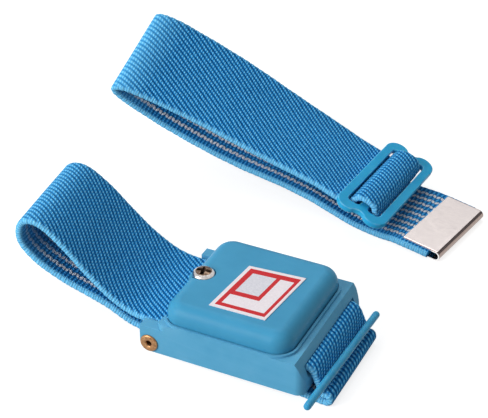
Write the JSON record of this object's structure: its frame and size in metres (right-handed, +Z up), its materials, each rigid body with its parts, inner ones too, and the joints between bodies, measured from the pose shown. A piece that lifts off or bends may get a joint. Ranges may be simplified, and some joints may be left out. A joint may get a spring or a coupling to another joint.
{
  "type": "antistatic wrist strap",
  "caption": "Cordless static-discharge wrist strap: elastic band looped through a contact housing with screw, label and cross bar, beside a spare band with slider and end clip.",
  "frame": {"origin": "centre of the object's box on the table it lies on: the strap lies on the -Y side, the spare band on the +Y side", "axes": "+Z up; +X along both bands, from their folded loops towards the housing's slot and the spare band's clip; +Y across the bands"},
  "size_m": [0.0861, 0.0945, 0.0305],
  "materials": {
    "housing_plastic": "satin moulded plastic",
    "slider_plastic": "slightly translucent moulded plastic",
    "band_fabric": "twill elastic webbing with conductive threads inside",
    "label_paper": null,
    "nickel": "nickel plated, slightly tarnished",
    "clip_steel": "polished sheet steel",
    "contact_steel": "brushed stainless sheet",
    "brass": "plain brass",
    "resistor_ceramic": "lacquered resistor body"
  },
  "bodies": {
    "strap": {"housing_base": "housing_plastic", "housing_cover": "housing_plastic", "cover_label": "label_paper", "contact_screw": "nickel", "screw_nut": "brass", "ring_terminal": "clip_steel", "resistor_body": "resistor_ceramic", "resistor_leads": "nickel", "contact_plate": "contact_steel", "plate_rivet": "nickel", "anchor_pin": "brass", "strap_end_clip": "clip_steel", "strap_band": "band_fabric", "spare_band": "band_fabric", "spare_end_clip": "clip_steel"},
    "strap_bar": {"strap_bar": "slider_plastic"},
    "spare_slider": {"spare_slider": "slider_plastic", "spare_band_wrap": "band_fabric"}
  },
  "joints": [
    {"name": "strap_bar_slide", "type": "slide", "parent": "strap", "child": "strap_bar", "axis": [-0.4556, 0, 0.8902], "range_m": [0, 0.0022]},
    {"name": "spare_slider_slide", "type": "slide", "parent": "strap", "child": "spare_slider", "axis": [0.9679, -0.0677, -0.2419], "range_m": [-0.006, 0.002]}
  ]
}
